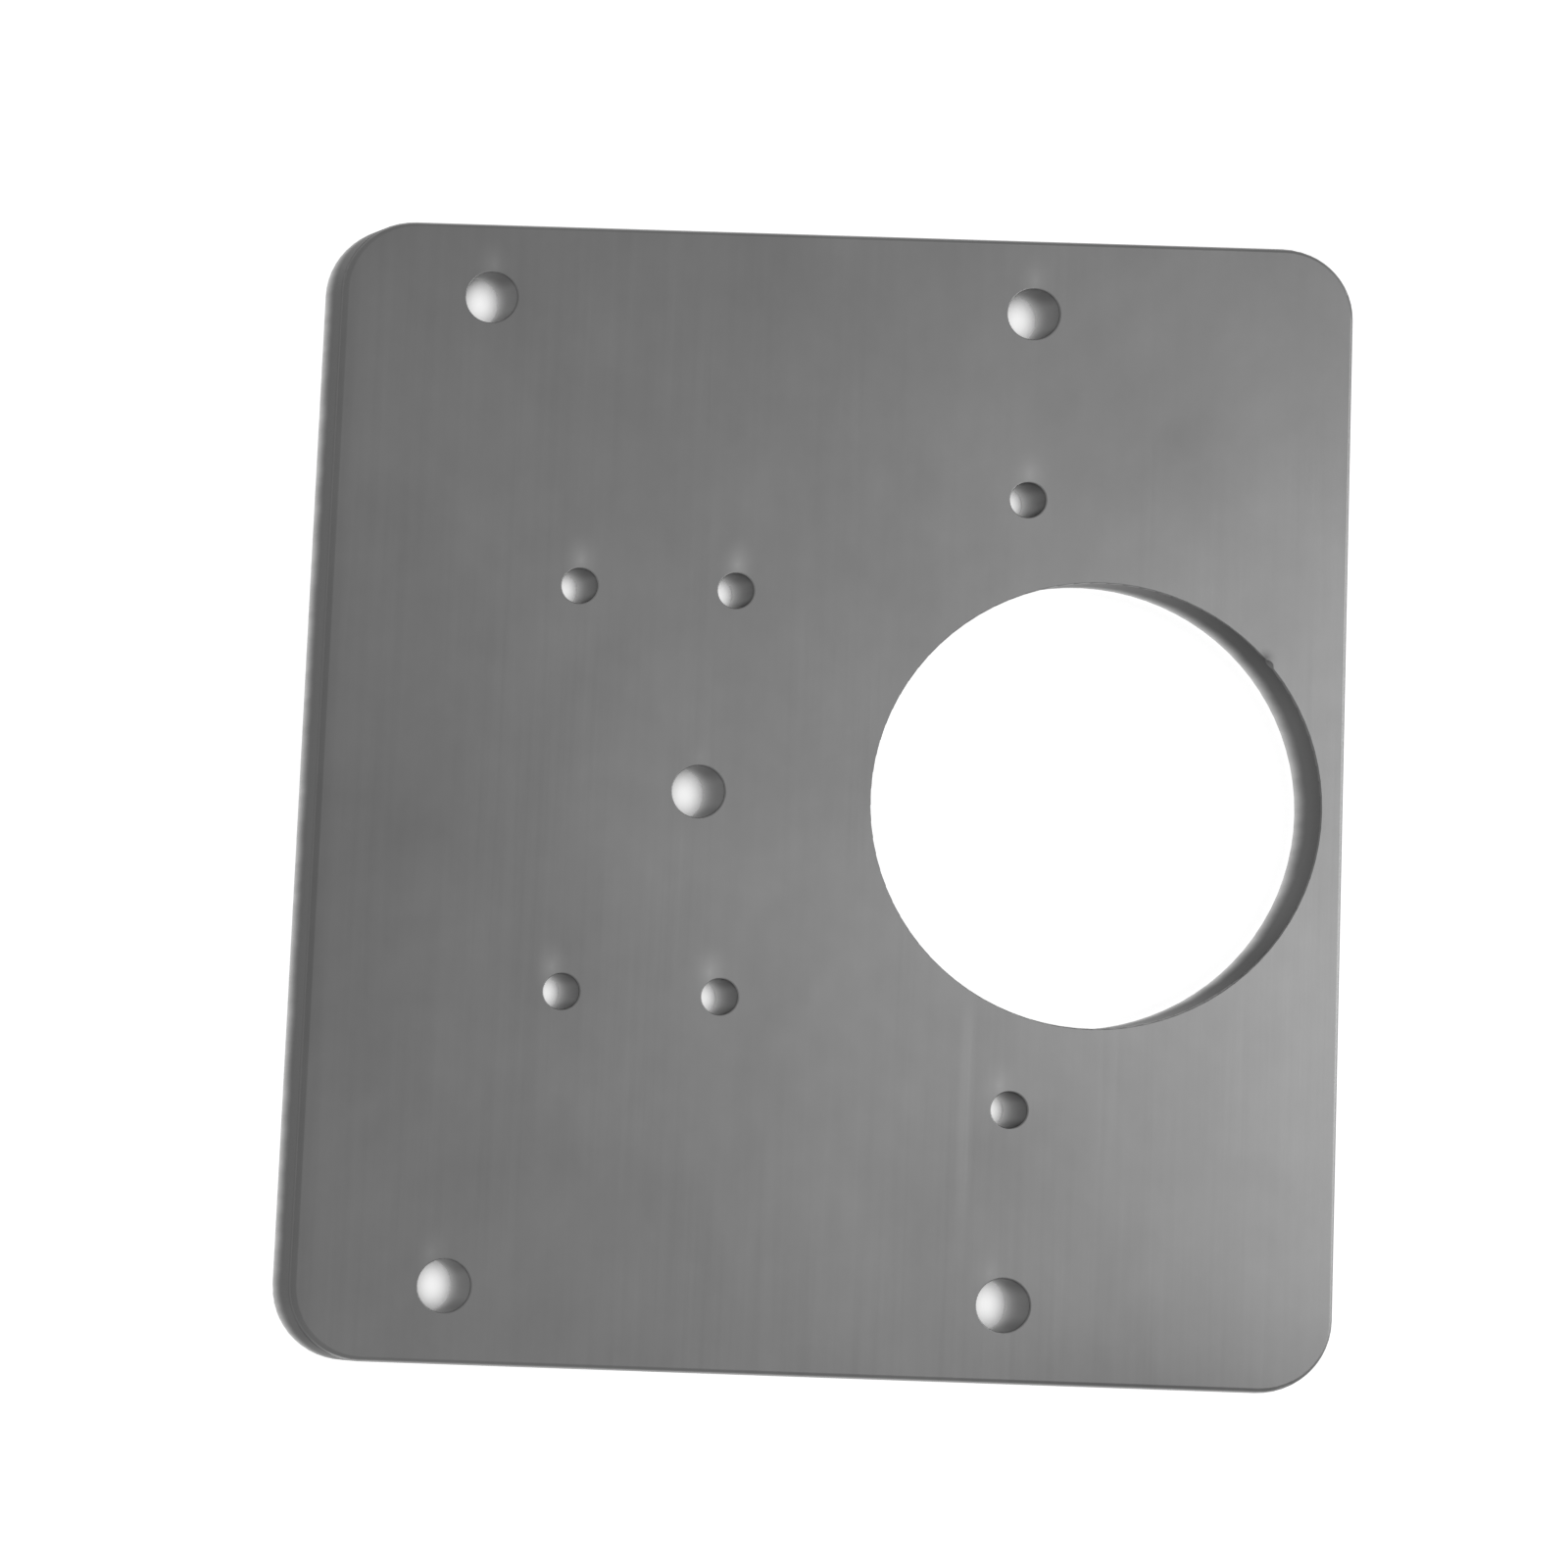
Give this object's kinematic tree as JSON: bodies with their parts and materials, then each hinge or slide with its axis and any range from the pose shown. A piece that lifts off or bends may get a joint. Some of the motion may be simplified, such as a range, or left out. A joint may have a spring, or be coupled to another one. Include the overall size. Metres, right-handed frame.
{
  "type": "hinge repair plate",
  "caption": "Flat steel plate with rounded corners, a large hole for a hinge cup near one edge, and small screw holes for the hinge and for fixing the plate.",
  "frame": {"origin": "centre of the back face, on the surface that the plate lies on", "axes": "+Z out of the front face, +X towards the hinge edge beside the cup hole, +Y along that edge"},
  "size_m": [0.0802, 0.09, 0.0025],
  "materials": {
    "steel": "fine brushed stainless steel, mid grey and slightly cloudy, with a faint grain along the plate's height"
  },
  "bodies": {
    "root": {"plate": "steel"}
  },
  "joints": []
}
